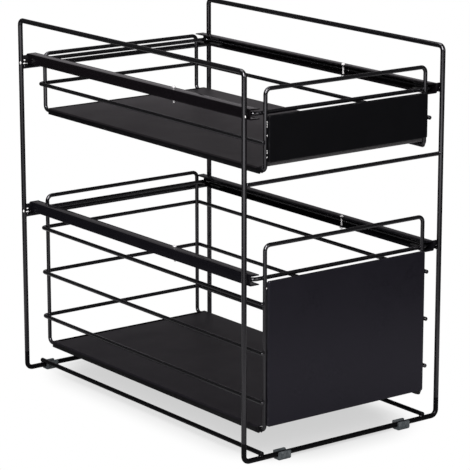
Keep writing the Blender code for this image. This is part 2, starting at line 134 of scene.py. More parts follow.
def buildPowderGroup():
    look = powderLook
    tree, ids, given, end = newGroup("powderGrain", "ShaderNodeTree", {
        "Position": ("Vector",), "Coat Colour": ("Color", (0.02, 0.02, 0.02, 1)),
        "Cloudiness": ("Float", 0.15, 0, 1), "Base Roughness": ("Float", 0.4, 0, 1),
        "Fleck Amount": ("Float", 0.3, 0, 1),
    }, {"Colour": ("Color",), "Roughness": ("Float",), "Height": ("Float",)})
    position = given["Position"]
    clouds = noise(tree, position, look["cloudSize"], 3.0)
    peel = noise(tree, position, look["peelSize"], 2.0)
    grain = noise(tree, position, look["grainSize"], 1.0)
    cells = addNode(tree, "ShaderNodeTexVoronoi", {
        "Vector": position, "Scale": 1 / (look["fleckSpacing"] * mm), "Randomness": 1.0}, feature="F1")
    dots = spread(tree, cells.outputs["Distance"], *look["fleckEdge"], 1.0, 0.0)
    patches = spread(tree, noise(tree, position, look["fleckPatchSize"], 1.0), *look["fleckPatchEdge"])
    flecks = times(tree, dots, patches)
    flecks = times(tree, flecks, given["Fleck Amount"], clamp=True)
    lift = mathNode(tree, "SUBTRACT", clouds, 0.5)
    lift = timesPlus(tree, lift, given["Cloudiness"], 1.0)
    fine = timesPlus(tree, grain, look["grainTone"], 1 - look["grainTone"] / 2)
    tone = times(tree, lift, fine)
    toned = addNode(tree, "ShaderNodeVectorMath", {0: given["Coat Colour"], "Scale": tone}, operation="SCALE")
    rough = timesPlus(tree, clouds, look["cloudRoughness"], -look["cloudRoughness"] / 2)
    rough = mathNode(tree, "ADD", rough, given["Base Roughness"])
    rough = timesPlus(tree, grain, look["grainRoughness"], rough)
    height = timesPlus(tree, grain, look["grainHeight"], peel)
    feed(tree, end, {
        "Colour": mixColour(tree, flecks, toned.outputs[0], look["fleckColour"]),
        "Roughness": timesPlus(tree, flecks, look["fleckRoughness"], rough, clamp=True),
        "Height": timesPlus(tree, flecks, look["fleckHeight"], height)})
    return tree


layers = {
    "rim": {"patchSize": 5.5, "patchEdge": (0.44, 0.66), "roughening": -0.16},
    "dust": {
        "facingUp": (0.35, 0.95), "driftSize": 24, "driftEdge": (0.3, 0.75, 0.25, 1.0), "roughening": 0.5},
}


def rimMask(tree, given, look):
    patches = spread(tree, noise(tree, given["Position"], look["patchSize"], 4.0, 0.62), *look["patchEdge"])
    return times(tree, patches, given["Rim"])


def dustMask(tree, given, look):
    normal = tree.nodes.new("ShaderNodeNewGeometry").outputs["Normal"]
    split = addNode(tree, "ShaderNodeSeparateXYZ", {0: normal})
    facingUp = spread(tree, split.outputs["Z"], *look["facingUp"])
    drifts = spread(tree, noise(tree, given["Position"], look["driftSize"], 5.0, 0.6), *look["driftEdge"])
    return times(tree, facingUp, drifts)


def buildLayerGroup(name, word, look, maskOf, amount, layerColour, extra):
    # a thin layer over another finish, with sockets for how much of it there is and its colour
    tree, ids, given, end = newGroup(name, "ShaderNodeTree", {
        "Position": ("Vector",), **extra, "Colour": ("Color", (0.02, 0.02, 0.02, 1)),
        "Roughness": ("Float", 0.4, 0, 1), word + " Amount": ("Float", amount, 0, 1),
        word + " Colour": ("Color", (*layerColour, 1)),
    }, {"Colour": ("Color",), "Roughness": ("Float",)})
    mask = times(tree, maskOf(tree, given, look), given[word + " Amount"], clamp=True)
    feed(tree, end, {
        "Colour": mixColour(tree, mask, given["Colour"], given[word + " Colour"]),
        "Roughness": timesPlus(tree, mask, look["roughening"], given["Roughness"], clamp=True)})
    return tree


powderGroup = buildPowderGroup()
# cut edges rubbed pale and smooth in patches, and a thin dust in drifts on what faces up
rubGroup = buildLayerGroup("rubbedRim", "Rub", layers["rim"], rimMask, 0.4, (0.12, 0.12, 0.125),
                           {"Rim": ("Float", 0.0, 0, 1)})
dustGroup = buildLayerGroup("settledDust", "Dust", layers["dust"], dustMask, 0.1, (0.3, 0.29, 0.28), {})
print("shader groups built")


# Finishes

def newMaterial(name):
    material = bpy.data.materials.new(name)
    material.use_nodes = True
    tree = material.node_tree
    coords = tree.nodes.new("ShaderNodeTexCoord")
    return material, tree, tree.nodes["Principled BSDF"], coords.outputs["Object"]


def rubbedEdges(tree, position, colour, roughness, look):
    rim = addNode(tree, "ShaderNodeAttribute", attribute_name="rim")
    return addNode(tree, "ShaderNodeGroup", {
        "Position": position, "Rim": rim.outputs["Fac"], "Colour": colour, "Roughness": roughness,
        "Rub Amount": look["rub"], "Rub Colour": (*look["rubColour"], 1)}, node_tree=rubGroup).outputs


def coatedSteel(name, look):
    material, tree, shader, position = newMaterial(name)
    powder = addNode(tree, "ShaderNodeGroup", {
        "Position": position, "Coat Colour": (*look["colour"], 1), "Cloudiness": look["cloudiness"],
        "Base Roughness": look["roughness"], "Fleck Amount": look["flecks"]}, node_tree=powderGroup).outputs
    rubbed = rubbedEdges(tree, position, powder["Colour"], powder["Roughness"], look)
    dusty = addNode(tree, "ShaderNodeGroup", {
        "Position": position, "Colour": rubbed["Colour"], "Roughness": rubbed["Roughness"],
        "Dust Amount": look["dust"]}, node_tree=dustGroup).outputs
    waves = bumpNode(tree, noise(tree, position, look["waveSize"], 1.0), look["waveStrength"], 1.2)
    feed(tree, shader, {
        "Base Color": dusty["Colour"], "Roughness": dusty["Roughness"],
        "Specular IOR Level": look["specular"], "IOR": look["ior"], "Specular Tint": (*look["gloss"], 1),
        "Normal": bumpNode(tree, powder["Height"], look["peel"], 0.06, waves)})
    return material


# the glossy coat on the wires, and under it the duller one on sheets, whose rolling waves are longer;
# every other coat is given by what differs from one of them
coatLook = {
    "colour": (0.0035, 0.0033, 0.004), "cloudiness": 0.3, "roughness": 0.13, "flecks": 0.05,
    "specular": 1.0, "ior": 1.65, "gloss": (0.97, 0.94, 1.0), "rub": 0.15, "rubColour": (0.05, 0.05, 0.052),
    "dust": 0.01, "peel": 0.03, "waveSize": 9, "waveStrength": 0.03,
}
sheetLook = {**coatLook, "specular": 0.2, "ior": 1.5, "peel": 0.3, "waveSize": 60, "waveStrength": 0.06}
coats = {
    "frameCoat": coatLook,
    # a darker, duller copy of the wire coat; its darker colour paints shade on the base bars and base wires
    # near the floor, and the drawers' weld beads take it too
    "baseShadeCoat": {
        **coatLook, "colour": (0.0016, 0.0015, 0.0019), "roughness": 0.28, "specular": 0.25, "ior": 1.5,
        "dust": 0.004},
    "drawerCoat": coatLook,
    # the rails are the same black coat, lightened and tinted as painted sheen, in a copy per tier for how
    # each is lit
    "upperRailCoat": {
        **coatLook, "colour": (0.0045, 0.0036, 0.0045), "roughness": 0.07, "specular": 0.3, "ior": 1.25,
        "dust": 0.004, "peel": 0.1},
    "lowerRailCoat": {
        **coatLook, "colour": (0.005, 0.0046, 0.0062), "roughness": 0.12, "specular": 0.15, "ior": 1.2,
        "gloss": (0.9, 0.88, 1.0), "dust": 0.002, "peel": 0.1},
    # the two front panels are one material: the upper copy is darkened as painted shade, the lower one
    # lightened and tinted as painted light, for how each tier is lit
    "upperPanelCoat": {
        **sheetLook, "colour": (0.0026, 0.0026, 0.0032), "roughness": 0.34, "waveStrength": 0.1},
    "lowerPanelCoat": {
        **sheetLook, "colour": (0.0062, 0.0056, 0.0086), "roughness": 0.27, "specular": 0.55,
        "gloss": (0.88, 0.83, 1.0), "waveSize": 70, "waveStrength": 0.1},
    # the floor pans are the same black coat, lightened as painted sheen, the upper copy more than the lower
    # for how each tier is lit
    "upperPanCoat": {**sheetLook, "colour": (0.0118, 0.0098, 0.0114), "roughness": 0.38, "specular": 0.3},
    # the pan's side folds, darkened as painted shade
    "foldShadeCoat": {
        **coatLook, "colour": (0.0022, 0.002, 0.0026), "roughness": 0.34, "specular": 0.2, "ior": 1.5,
        "dust": 0.004, "peel": 0.2},
    # the pan's lip under each panel, lightened to grey as a painted highlight band
    "lipSheenCoat": {**sheetLook, "colour": (0.045, 0.043, 0.044), "roughness": 0.26, "specular": 0.7},
    "lowerPanCoat": {
        **sheetLook, "colour": (0.0098, 0.0085, 0.0112), "roughness": 0.42, "gloss": (0.92, 0.87, 1.0)},
}


def platedSteel(name, look):
    material, tree, shader, position = newMaterial(name)
    mottle = noise(tree, position, look["mottleSize"], 4.0, 0.6)
    smudge = noise(tree, position, look["smudgeSize"], 2.0)
    patches = spread(tree, mottle, 0.3, 0.7)
    feed(tree, shader, {
        "Base Color": mixColour(tree, patches, (*look["dark"], 1), (*look["bright"], 1)),
        "Roughness": timesPlus(tree, smudge, look["smudge"], look["roughness"], clamp=True),
        "Metallic": look["metallic"], "Normal": bumpNode(tree, mottle, look["bump"], 0.05)})
    return material


metals = {
    "zincPlate": {
        "mottleSize": 0.7, "dark": (0.86, 0.83, 0.84), "bright": (0.96, 0.94, 0.95), "metallic": 0.25,
        "roughness": 0.12, "smudgeSize": 2.4, "smudge": 0.22, "bump": 0.12},
    # bare weld metal, painted bright as glints where the glossy coat over the welds catches the light
    "glintWeldMetal": {
        "mottleSize": 0.5, "dark": (0.75, 0.73, 0.72), "bright": (0.96, 0.95, 0.95), "metallic": 0.1,
        "roughness": 0.2, "smudgeSize": 2.4, "smudge": 0.22, "bump": 0.5},
}


def mouldedPolymer(name, look):
    material, tree, shader, position = newMaterial(name)
    pebble = noise(tree, position, look["grainSize"], 2.0)
    clouds = noise(tree, position, look["cloudSize"], 3.0)
    base = mixColour(tree, spread(tree, clouds, 0.3, 0.7), (*look["dark"], 1), (*look["pale"], 1))
    lowest = look["roughness"] - look["grainRoughness"] / 2
    feed(tree, shader, {
        "Base Color": rubbedEdges(tree, position, base, look["roughness"], look)["Colour"],
        "Roughness": timesPlus(tree, pebble, look["grainRoughness"], lowest, clamp=True),
        "Specular IOR Level": look["specular"], "Normal": bumpNode(tree, pebble, look["bump"], 0.08)})
    return material


polymers = {
    "footRubber": {
        "grainSize": 0.35, "cloudSize": 7, "dark": (0.038, 0.045, 0.049), "pale": (0.054, 0.063, 0.068),
        "rub": 0.5, "rubColour": (0.12, 0.13, 0.135), "roughness": 0.55, "grainRoughness": 0.16,
        "specular": 0.4, "bump": 0.4},
    "glideNylon": {
        "grainSize": 0.6, "cloudSize": 7, "dark": (0.02, 0.02, 0.021), "pale": (0.032, 0.032, 0.033),
        "rub": 0.4, "rubColour": (0.09, 0.09, 0.09), "roughness": 0.42, "grainRoughness": 0.16,
        "specular": 0.5, "bump": 0.25},
}
finishes = {name: maker(name, look)
            for maker, looks in ((coatedSteel, coats), (platedSteel, metals), (mouldedPolymer, polymers))
            for name, look in looks.items()}
print("finishes made:", ", ".join(finishes))


# Mesh helpers

mergeWithin = 0.002  # mm
creaseAngle = 38  # degrees


def linkObject(name, data):
    piece = bpy.data.objects.new(name, data)
    bpy.context.scene.collection.objects.link(piece)
    return piece


def meshFrom(bm, name):
    bmesh.ops.recalc_face_normals(bm, faces=bm.faces)
    mesh = bpy.data.meshes.new(name)
    bm.to_mesh(mesh)
    bm.free()
    return mesh


def finishMesh(mesh):
    bm = bmesh.new()
    bm.from_mesh(mesh)
    bmesh.ops.remove_doubles(bm, verts=bm.verts, dist=mergeWithin * mm)
    bmesh.ops.dissolve_degenerate(bm, edges=bm.edges, dist=mergeWithin * mm)
    bmesh.ops.recalc_face_normals(bm, faces=bm.faces)
    bm.to_mesh(mesh)
    bm.free()
    mesh.shade_smooth()
    mesh.set_sharp_from_angle(angle=math.radians(creaseAngle))


def evaluatedMesh(piece):
    bpy.context.view_layer.update()
    return bpy.data.meshes.new_from_object(piece.evaluated_get(bpy.context.evaluated_depsgraph_get()))


def discard(piece):
    mesh = piece.data
    bpy.data.objects.remove(piece, do_unlink=True)
    bpy.data.meshes.remove(mesh)


def plainCopy(worker, name, finish):
    mesh = evaluatedMesh(worker)
    mesh.name = name
    discard(worker)
    finishMesh(mesh)
    mesh.materials.clear()
    mesh.materials.append(finishes[finish])
    return linkObject(name, mesh)


def settle(piece, body, slot, *nodes):
    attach(piece, body)
    if nodes:
        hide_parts(*nodes)


# Geometry node trees: bent wire, weld beads and repeated fasteners

def namedAttribute(tree, name, kind="FLOAT"):
    node = addNode(tree, "GeometryNodeInputNamedAttribute", {"Name": name}, data_type=kind)
    return node.outputs["Attribute"]


def realized(tree, geometry):
    return addNode(tree, "GeometryNodeRealizeInstances", {"Geometry": geometry}).outputs["Geometry"]


def painted(tree, geometry, finish):
    values = {"Geometry": geometry, "Material": finish}
    return addNode(tree, "GeometryNodeSetMaterial", values).outputs["Geometry"]


def buildWireTree():
    tree, ids, given, end = newGroup("bentWire", "GeometryNodeTree", {
        "Path": ("Geometry",), "Wire Diameter": ("Float", 0.004, 0.0005, 0.02),
        "Bend Steps": ("Int", 10, 1, 32), "Round Steps": ("Int", 18, 6, 48), "Finish": ("Material",),
    }, {"Wire": ("Geometry",)})
    path = addNode(tree, "GeometryNodeMeshToCurve", {"Mesh": given["Path"]})
    bends = addNode(tree, "GeometryNodeFilletCurve", {
        "Curve": path.outputs["Curve"], "Radius": namedAttribute(tree, "bend"), "Count": given["Bend Steps"]},
        mode="POLY")
    radius = times(tree, given["Wire Diameter"], 0.5)
    ring = addNode(tree, "GeometryNodeCurvePrimitiveCircle", {
        "Resolution": given["Round Steps"], "Radius": radius})
    sweep = addNode(tree, "GeometryNodeCurveToMesh", {
        "Curve": bends.outputs["Curve"], "Profile Curve": ring.outputs["Curve"],
        "Scale": namedAttribute(tree, "girth"), "Fill Caps": True})
    feed(tree, end, {"Wire": painted(tree, realized(tree, sweep.outputs["Mesh"]), given["Finish"])})
    return tree, ids


def buildBeadTree():
    tree, ids, given, end = newGroup("weldBeads", "GeometryNodeTree", {
        "Spots": ("Geometry",), "Lump Height": ("Float", 0.0002, 0, 0.002),
        "Lump Size": ("Float", 0.0009, 0.0001, 0.01), "Finish": ("Material",),
    }, {"Beads": ("Geometry",)})
    points = addNode(tree, "GeometryNodeMeshToPoints", {"Mesh": given["Spots"]})
    ball = addNode(tree, "GeometryNodeMeshIcoSphere", {"Radius": 1.0, "Subdivisions": 3})
    beads = addNode(tree, "GeometryNodeInstanceOnPoints", {
        "Points": points.outputs["Points"], "Instance": ball.outputs["Mesh"],
        "Scale": namedAttribute(tree, "beadSize", "FLOAT_VECTOR")})
    scale = mathNode(tree, "DIVIDE", 1.0, given["Lump Size"])
    lumps = addNode(tree, "ShaderNodeTexNoise", {"Scale": scale, "Detail": 1.0})
    centred = mathNode(tree, "SUBTRACT", lumps.outputs["Fac"], 0.5)
    reach = times(tree, centred, given["Lump Height"])
    normal = tree.nodes.new("GeometryNodeInputNormal")
    push = addNode(tree, "ShaderNodeVectorMath", {
        0: normal.outputs["Normal"], "Scale": reach}, operation="SCALE")
    lumpy = addNode(tree, "GeometryNodeSetPosition", {
        "Geometry": realized(tree, beads.outputs["Instances"]), "Offset": push.outputs["Vector"]})
    feed(tree, end, {"Beads": painted(tree, lumpy.outputs["Geometry"], given["Finish"])})
    return tree, ids


def buildRepeatTree():
    tree, ids, given, end = newGroup("repeatedPiece", "GeometryNodeTree", {
        "Places": ("Geometry",), "Item": ("Object",), "Finish": ("Material",),
    }, {"Pieces": ("Geometry",)})
    angles = addNode(tree, "ShaderNodeCombineXYZ", {"Z": namedAttribute(tree, "turn")})
    rotation = addNode(tree, "FunctionNodeEulerToRotation", {"Euler": angles.outputs["Vector"]})
    points = addNode(tree, "GeometryNodeMeshToPoints", {"Mesh": given["Places"]})
    item = addNode(tree, "GeometryNodeObjectInfo", {"Object": given["Item"]})
    copies = addNode(tree, "GeometryNodeInstanceOnPoints", {
        "Points": points.outputs["Points"], "Instance": item.outputs["Geometry"],
        "Rotation": rotation.outputs["Rotation"]})
    feed(tree, end, {"Pieces": painted(tree, realized(tree, copies.outputs["Instances"]), given["Finish"])})
    return tree, ids


wireTree = buildWireTree()
beadTree = buildBeadTree()
repeatTree = buildRepeatTree()
print("geometry node trees built")


def seedMesh(name, points, attributes, edges=()):
    mesh = bpy.data.meshes.new(name)
    mesh.from_pydata([tuple(point) for point in points], list(edges), [])
    for key, (kind, values) in attributes.items():
        layer = mesh.attributes.new(key, kind, "POINT")
        field = "vector" if kind == "FLOAT_VECTOR" else "value"
        for item, value in zip(layer.data, values):
            setattr(item, field, value)
    return mesh


def runTree(name, mesh, treeAndIds, values, finish):
    tree, ids = treeAndIds
    worker = linkObject(name + "Seed", mesh)
    modifier = worker.modifiers.new(tree.name, "NODES")
    modifier.node_group = tree
    for key, value in {**values, "Finish": finishes[finish]}.items():
        modifier[ids[key]] = value
    return plainCopy(worker, name, finish)


# Wires

wireSteps = {"Bend Steps": 9, "Round Steps": 18}
wireEnd = {"rounding": 0.7, "steps": 4}


def roundedEnd(tip, inner, radius):
    # points from the tip inwards, with the wire's girth at each
    run = (inner - tip).normalized()
    rounding, steps = wireEnd["rounding"] * mm, wireEnd["steps"]
    points, girths = [], []
    for step in range(steps, -1, -1):
        angle = step / steps * math.pi / 2
        points.append(tip + run * rounding * (1 - math.sin(angle)))
        girths.append(1 - rounding / radius * (1 - math.cos(angle)))
    return points, girths


def makeWire(name, body, node, corners, bends, diameter, finish, closed=False, cutEnds=False):
    points = [place(*corner) for corner in corners]
    radii = [bend * mm for bend in bends]
    girths = [1.0] * len(points)
    if cutEnds:
        headPoints, headGirths = roundedEnd(points[0], points[1], diameter / 2 * mm)
        tailPoints, tailGirths = roundedEnd(points[-1], points[-2], diameter / 2 * mm)
        points = headPoints + points[1:-1] + tailPoints[::-1]
        girths = headGirths + girths[1:-1] + tailGirths[::-1]
        radii = [0.0] * len(headPoints) + radii[1:-1] + [0.0] * len(tailPoints)
    last = len(points) - 1
    edges = [(index, index + 1) for index in range(last)]
    if closed:
        edges.append((last, 0))
    mesh = seedMesh(name + "Path", points, {"bend": ("FLOAT", radii), "girth": ("FLOAT", girths)}, edges)
    values = {"Wire Diameter": diameter * mm, **wireSteps}
    settle(runTree(name, mesh, wireTree, values, finish), body, coatSlot, node)


frameWires = {
    "postX": 129, "postY": 204.5, "bottomZ": 5.7, "topZ": 405.7, "seamZ": 25.7, "seamLap": 0.05, "wire": 5.4,
    "topBend": 5.5, "baseBend": 6.5,
    "baseWire": 4.8, "baseWireX": 108, "baseWireZ": 11.1, "baseWireFront": -208, "baseWireRear": 206.5,
    "frontBarZ": 292.55, "frontBarWire": 4.3, "upperRearBarZ": 353.8, "lowerRearBarZ": 185.4,
    "rearBarWire": 5.4, "barReach": 127.2,
}


def makeFrameWires():
    w = frameWires
    postY, seam, top = w["postY"], w["seamZ"], w["topZ"]
    for side, hand in hands.items():
        x = side * w["postX"]
        corners = [(x, postY, seam), (x, postY, top), (x, -postY, top), (x, -postY, seam)]
        makeWire(hand + "SideHoop", "frame", hand + "_side_hoop", corners, [0, w["topBend"], w["topBend"], 0],
                 w["wire"], "frameCoat")
        x = side * w["baseWireX"]
        corners = [(x, w["baseWireFront"], w["baseWireZ"]), (x, w["baseWireRear"], w["baseWireZ"])]
        makeWire(hand + "BaseWire", "frame", hand + "_base_wire", corners, [0, 0], w["baseWire"], "baseShadeCoat",
                 cutEnds=True)
    for end, y in (("front", -postY), ("rear", postY)):
        x, high, low = w["postX"], seam + w["seamLap"], w["bottomZ"]
        corners = [(-x, y, high), (-x, y, low), (x, y, low), (x, y, high)]
        makeWire(end + "BaseBar", "frame", end + "_base_bar", corners, [0, w["baseBend"], w["baseBend"], 0],
                 w["wire"], "baseShadeCoat")
    for name, node, y, z, diameter in (
            ("frontCrossbar", "front_crossbar", -postY, w["frontBarZ"], w["frontBarWire"]),
            ("upperRearCrossbar", "upper_rear_crossbar", postY, w["upperRearBarZ"], w["rearBarWire"]),
            ("lowerRearCrossbar", "lower_rear_crossbar", postY, w["lowerRearBarZ"], w["rearBarWire"])):
        corners = [(-w["barReach"], y, z), (w["barReach"], y, z)]
        makeWire(name, "frame", node, corners, [0, 0], diameter, "frameCoat")


makeFrameWires()
print("frame wires made")

drawerWires = {
    "wire": 4.3, "legX": 104, "frontLegY": -206, "rearLegY": 195, "handleBend": 6, "floorBend": 5.5,
    "ringX": 117.4, "ringFrontY": -201.4, "ringRearY": 190.4, "ringBend": 8,
    "sideX": 108.6, "sideRearY": 199.6, "sideFrontY": -209.7, "sideBend": 4.6,
}
tiers = {
    "upper": {
        "floorZ": 304.1, "handleZ": 386.7, "rearHoopZ": 367.0, "ringZ": 362.3, "railZ": 356.8,
        "sideWires": {"SideWire": ("upper_side_wire", 333.2)},
        "panelLow": 313.25, "panelHigh": 360.5, "panTop": 307.75, "lipRise": 2.2,
        "panelTackGlintHeights": (318.4, 322.6, 324.9, 340.2, 349, 351.4, 353.8), "rearWeldShift": -0.1},
    "lower": {
        "floorZ": 34.75, "handleZ": 228.3, "rearHoopZ": 205.2, "ringZ": 193.9, "railZ": 188.4,
        "sideWires": {"BottomSideWire": ("lower_bottom_side_wire", 65.35),
                      "MiddleSideWire": ("lower_middle_side_wire", 116.875),
                      "TopSideWire": ("lower_top_side_wire", 168.4)},
        "panelLow": 39.8, "panelHigh": 192.1, "panTop": 38.4, "lipRise": 1.6,
        "panelTackGlintHeights": (184.5,), "rearWeldShift": 0},
}


def aroundDrawer(x, front, rear, z):
    return [(-x, front, z), (-x, rear, z), (x, rear, z), (x, front, z)]


def makeDrawerWires(tier):
    w, t, body = drawerWires, tiers[tier], tier + "_drawer"
    x, front, rear = w["legX"], w["frontLegY"], w["rearLegY"]
    handle, floor, hoop = t["handleZ"], t["floorZ"], t["rearHoopZ"]
    corners = [(-x, front, handle), (-x, front, floor), (-x, rear, floor), (-x, rear, hoop),
               (x, rear, hoop), (x, rear, floor), (x, front, floor), (x, front, handle)]
    top, low, side = w["handleBend"], w["floorBend"], w["sideBend"]
    makeWire(tier + "WireLoop", body, tier + "_wire_loop", corners, [top, low, low, top] * 2, w["wire"],
             "drawerCoat", closed=True)
    corners = aroundDrawer(w["ringX"], w["ringFrontY"], w["ringRearY"], t["ringZ"])
    makeWire(tier + "SlideRing", body, tier + "_slide_ring", corners, [w["ringBend"]] * 4, w["wire"],
             "drawerCoat", closed=True)
    for name, (node, z) in t["sideWires"].items():
        corners = aroundDrawer(w["sideX"], w["sideFrontY"], w["sideRearY"], z)
        makeWire(tier + name, body, node, corners, [0, side, side, 0], w["wire"], "drawerCoat", cutEnds=True)


for tier in tiers:
    makeDrawerWires(tier)
print("drawer wires made")


# Weld beads

# each bead: x from the middle, y and z from the joint it sits at, then its half sizes, all in mm
beadShape = {
    "lump": 0.35, "lumpSize": 1.1, "railEarInset": 3.1,
    "baseWire": (108, 0, 2.85, 2.2, 2.2, 0.9),
    "railEarTop": (127.1, -1.2, -0.8, 1.2, 0.8, 0.9),
    "railEarLow": (127.3, -1.2, -4.4, 1.8, 0.8, 0.8),
    "railEarOutside": (130.9, -2.1, -3.8, 0.9, 0.8, 1.7),
    "frontPost": (129.5, -2.5, -0.4, 0.6, 0.5, 1.4),
    "frontCrossbar": (126.1, 0, 0, 1.1, 2.45, 2.45),
    "rearCrossbar": (126.1, 0, 0, 1.0, 2.9, 2.9),
    "rearCrossbarToRail": (116, -0.4, 2.8, 3.2, 1.3, 0.5),
    "sideWireFront": (106.3, 0, 0, 1.05, 2.0, 2.0),
    "sideWireRear": (105.7, 1.7, 0, 1.5, 1.5, 1.9),
    "ringFront": (104, 2.3, 0, 2.0, 1.1, 2.0),
    "ringRear": (104, -2.3, 0, 2.0, 1.1, 2.0),
    "panCorner": (105.9, 2.8, -2.6, 1.6, 1.7, 3.3),
    "panelTack": (103.3, -2.1, 0, 0.5, 0.45, 0.9),
    "floorRunner": (103.3, 0, 2.2, 1.1, 2.4, 0.6), "runnerSpots": (-165, -95, -25, 45, 115, 165),
}


def beadAt(kind, side, y, z, shift=0):
    x, stepY, stepZ, *size = beadShape[kind]
    return (side * (x + shift), y + stepY, z + stepZ, *size)


def makeBeads(name, spots, body, finish):
    points = [place(*spot[:3]) for spot in spots]
    sizes = [tuple(length * mm for length in spot[3:]) for spot in spots]
    mesh = seedMesh(name + "Spots", points, {"beadSize": ("FLOAT_VECTOR", sizes)})
    values = {"Lump Height": beadShape["lump"] * mm, "Lump Size": beadShape["lumpSize"] * mm}
    beads = runTree(name, mesh, beadTree, values, finish)
    settle(beads, body, coatSlot if finish.endswith("Coat") else "zinc_plated_steel")


def frameWeldSpots():
    w = frameWires
    front, rear = -w["postY"], w["postY"]
    coated, glintWelds = [], []
    for side in hands:
        for y in (front, rear):
            coated.append(beadAt("baseWire", side, y, w["bottomZ"]))
            for tier, t in tiers.items():
                ear, z = y - math.copysign(beadShape["railEarInset"], y), t["ringZ"]
                # the rear ear welds, and a dot on the upper front left post, are painted bright as glints;
                # the front ear welds keep the coat
                welds = glintWelds if y == rear else coated
                welds += [beadAt("railEarTop", side, ear, z), beadAt("railEarLow", side, ear, z)]
                if y == rear:
                    glintWelds.append(beadAt("railEarOutside", side, y, z))
                elif tier == "upper" and side < 0:
                    glintWelds.append(beadAt("frontPost", side, y, z))
        coated.append(beadAt("frontCrossbar", side, front, w["frontBarZ"]))
        for z in (w["upperRearBarZ"], w["lowerRearBarZ"]):
            coated += [beadAt("rearCrossbar", side, rear, z), beadAt("rearCrossbarToRail", side, rear, z)]
    return coated, glintWelds


def drawerWeldSpots(tier):
    t, front, rear = tiers[tier], drawerWires["frontLegY"], drawerWires["rearLegY"]
    coated, glintWelds = [], []
    for side in hands:
        for node, z in t["sideWires"].values():
            coated += [beadAt("sideWireFront", side, front, z), beadAt("sideWireRear", side, rear, z)]
        coated += [beadAt("ringFront", side, front, t["ringZ"]),
                   beadAt("panCorner", side, front, t["panTop"]),
                   beadAt("ringRear", side, rear, t["ringZ"], t["rearWeldShift"])]
        # the panel tacks are painted bright as glints along the legs
        glintWelds += [beadAt("panelTack", side, front, z) for z in t["panelTackGlintHeights"]]
        coated += [beadAt("floorRunner", side, y, t["floorZ"]) for y in beadShape["runnerSpots"]]
    return coated, glintWelds


frameCoated, frameGlintWelds = frameWeldSpots()
makeBeads("frameWeldBeads", frameCoated, "frame", "frameCoat")
makeBeads("railEarWelds", frameGlintWelds, "frame", "glintWeldMetal")
for tier in tiers:
    drawerCoated, drawerGlintWelds = drawerWeldSpots(tier)
    makeBeads(tier + "DrawerWeldBeads", drawerCoated, tier + "_drawer", "baseShadeCoat")
    makeBeads(tier + "PanelWelds", drawerGlintWelds, tier + "_drawer", "glintWeldMetal")
print("weld beads made")


# Sheets: outlines, strips and plates

def rimMark(bm):
    return bm.verts.layers.float.get("rim") or bm.verts.layers.float.new("rim")


def joinRows(bm, rows):
    for near, far in zip(rows, rows[1:]):
        for index in range(len(near)):
            after = (index + 1) % len(near)
            bm.faces.new((near[index], near[after], far[after], far[index]))


def closeEnds(bm, rows):
    # fills a strip's two end outlines, rung by rung
    for row in (rows[0], rows[-1]):
        last = len(row) - 1
        for index in range(len(row) // 2 - 1):
            bm.faces.new((row[index], row[index + 1], row[last - index - 1], row[last - index]))


def arc(radius, start, sweep, steps, centre=(0, 0)):
    angles = [start + sweep * step / steps for step in range(steps + 1)]
    return [(centre[0] + radius * math.cos(angle), centre[1] + radius * math.sin(angle)) for angle in angles]


def bentStrip(path, sheet, bend, steps=5, tightest=0.15):
    # outline of a bent sheet in a plane: path is its outer face, drawn so that the sheet lies to its left;
    # bend and tightest are the outer bend's radius and the least one inside, in mm
    outer, inner = [], []
    last = len(path) - 1
    for index, point in enumerate(path):
        here = Vector(point)
        if index in (0, last):
            run = Vector(path[1]) - here if index == 0 else here - Vector(path[-2])
            run.normalize()
            outer.append(here)
            inner.append(here + Vector((-run.y, run.x)) * sheet)
            continue
        into = (here - Vector(path[index - 1])).normalized()
        out = (Vector(path[index + 1]) - here).normalized()
        leftIn, leftOut = Vector((-into.y, into.x)), Vector((-out.y, out.x))
        centre = here + (leftIn + leftOut) * bend
        for step in range(steps + 1):
            share = step / steps
            away = (leftIn * (1 - share) + leftOut * share).normalized()
            outer.append(centre - away * bend)
            inner.append(centre - away * max(bend - sheet, tightest))
    return outer, inner


def sweepStrip(bm, outlines, low, high, endZone, toPoint):
    # carries a strip from low to high; the sheet's cut edges get the rim mark, which fades over the end zone
    outer, inner = outlines
    rim = rimMark(bm)
    outline = outer + inner[::-1]
    cutEdges = {0, len(outer) - 1, len(outer), len(outline) - 1}
    rows = []
    for station, cutEnd in ((low, True), (low + endZone, False), (high - endZone, False), (high, True)):
        row = []
        for index, point in enumerate(outline):
            vert = bm.verts.new(toPoint(point, station))
            vert[rim] = 1.0 if cutEnd or index in cutEdges else 0.0
            row.append(vert)
        rows.append(row)
    joinRows(bm, rows)
    closeEnds(bm, rows)


def addSlab(bm, low, high):
    rim = rimMark(bm)
    for vert in bmesh.ops.create_cube(bm, size=1.0)["verts"]:
        vert[rim] = 1.0
        vert.co = [start + (end - start) * (unit + 0.5) for start, end, unit in zip(low, high, vert.co)]


def addPrism(bm, outline, levels, toPoint):
    # an outline and its copy at another level, joined
    rim = rimMark(bm)
    rows = [[bm.verts.new(toPoint(point, level)) for point in outline] for level in levels]
    for row in rows:
        for vert in row:
            vert[rim] = 1.0
        bm.faces.new(row)
    joinRows(bm, rows)


def fromBmesh(bm, name, finish, softEdge=None):
    # softEdge: width in mm, segments, and the angle from which an edge is softened
    worker = linkObject(name + "Raw", meshFrom(bm, name + "Raw"))
    if softEdge:
        width, segments, angle = softEdge
        modifier = worker.modifiers.new("softEdges", "BEVEL")
        modifier.width, modifier.segments = width * mm, segments
        modifier.limit_method, modifier.angle_limit = "ANGLE", math.radians(angle)
    return plainCopy(worker, name, finish)


# Rails

